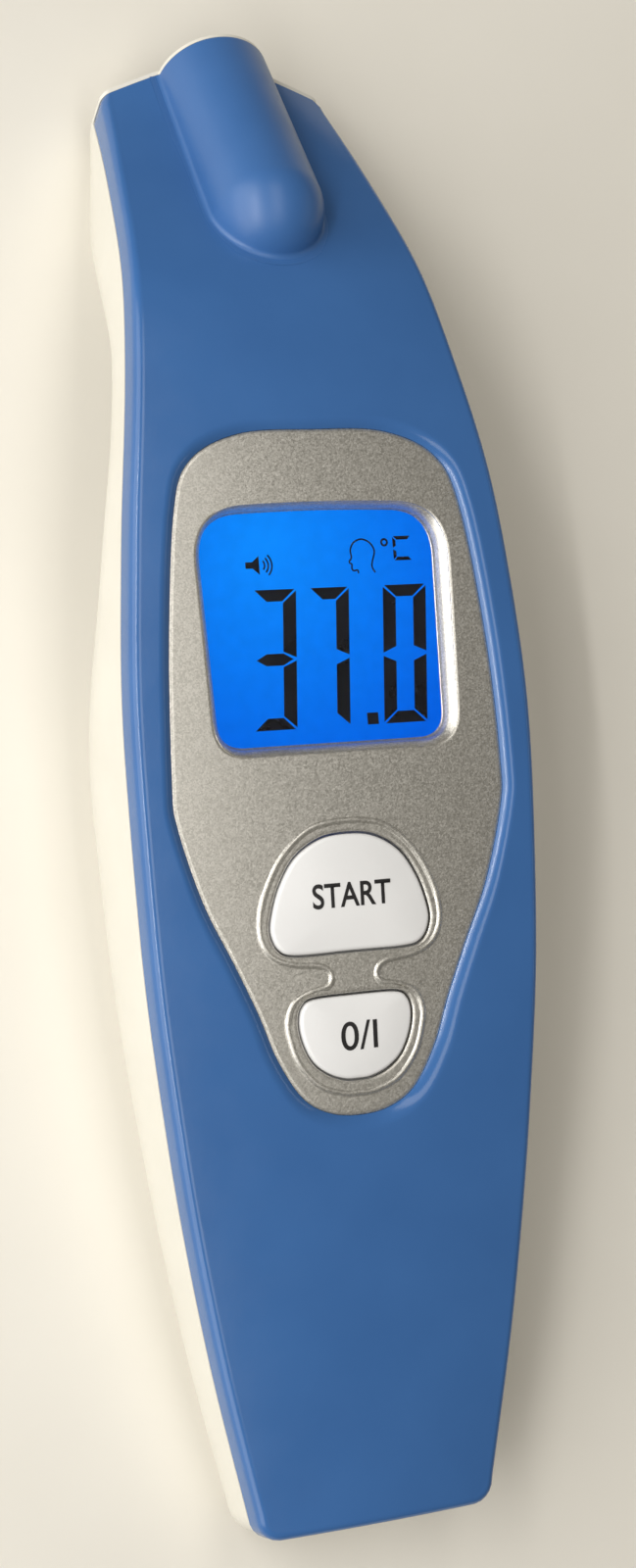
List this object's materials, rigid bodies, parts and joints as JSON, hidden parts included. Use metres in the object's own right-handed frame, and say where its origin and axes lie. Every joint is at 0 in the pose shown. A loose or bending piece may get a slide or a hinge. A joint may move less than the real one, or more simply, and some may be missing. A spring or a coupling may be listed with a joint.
{
  "type": "forehead thermometer",
  "caption": "Handheld infrared forehead thermometer with a leaning sensor head, backlit display, two press keys and a sliding battery door.",
  "frame": {"origin": "on the rest plane, under the middle of the whole part, which lies on its back", "axes": "+Y along the body to the sensor head, +Z out of the display side, +X to the right as the display is read"},
  "size_m": [0.0442, 0.1554, 0.0234],
  "materials": {
    "blue_shell": "glossy moulded",
    "silver_panel": "silver metal flake",
    "white_shell": "fine satin",
    "white_key": "satin",
    "silicone": "matte",
    "black_rubber": "matte",
    "gold_contact": "plated",
    "clear_lens": "polished",
    "lit_display": "backlit liquid crystal",
    "green_board": "solder mask",
    "black_plastic": "moulded",
    "bright_steel": "plated",
    "amber_film": "polyimide film",
    "sensor_metal": "turned",
    "dark_window": "silicon filter",
    "cell_can": "plain printed wrap"
  },
  "bodies": {
    "thermometer_body": {"front_cover": "blue_shell", "faceplate": "silver_panel", "rear_cover": "white_shell", "nose_plate": "white_shell", "start_key_dome": "silicone", "power_key_dome": "silicone", "start_contact_pad": "gold_contact", "power_contact_pad": "gold_contact", "display_bezel": "silver_panel", "display_lens": "clear_lens", "display_glass": "lit_display", "backlight_plate": "white_key", "contact_strip_upper": "black_rubber", "contact_strip_lower": "black_rubber", "main_circuit_board": "green_board", "controller_chip": "black_plastic", "memory_chip": "black_plastic", "buzzer": "black_plastic", "crystal_can": "bright_steel", "sensor_cable": "amber_film", "sensor_sleeve": "sensor_metal", "sensor_ring": "black_rubber", "thermopile_can": "bright_steel", "thermopile_window": "dark_window", "sensor_board": "green_board", "battery_tray": "white_shell", "battery_left": "cell_can", "battery_right": "cell_can", "battery_spring_foot": "bright_steel", "battery_spring_head": "bright_steel", "battery_bridge": "gold_contact", "battery_contact_positive": "gold_contact", "battery_contact_negative": "gold_contact", "case_screw_foot_left": "bright_steel", "case_screw_foot_right": "bright_steel", "case_screw_neck_left": "bright_steel", "case_screw_neck_right": "bright_steel"},
    "start_button": {"start_button_cap": "white_key", "start_contact_pill": "black_rubber"},
    "power_button": {"power_button_cap": "white_key", "power_contact_pill": "black_rubber"},
    "battery_door": {"battery_door": "white_shell"}
  },
  "joints": [
    {"name": "start_press", "type": "slide", "parent": "thermometer_body", "child": "start_button", "axis": [0, 0.0785, -0.9969], "range_m": [0, 0.0007], "stiffness_N_per_m": 1500, "deforming": ["start_key_dome"]},
    {"name": "power_press", "type": "slide", "parent": "thermometer_body", "child": "power_button", "axis": [0, 0.0785, -0.9969], "range_m": [0, 0.0007], "stiffness_N_per_m": 1500, "deforming": ["power_key_dome"]},
    {"name": "battery_door_slide", "type": "slide", "parent": "thermometer_body", "child": "battery_door", "axis": [0, -1, 0], "range_m": [0, 0.09]}
  ]
}
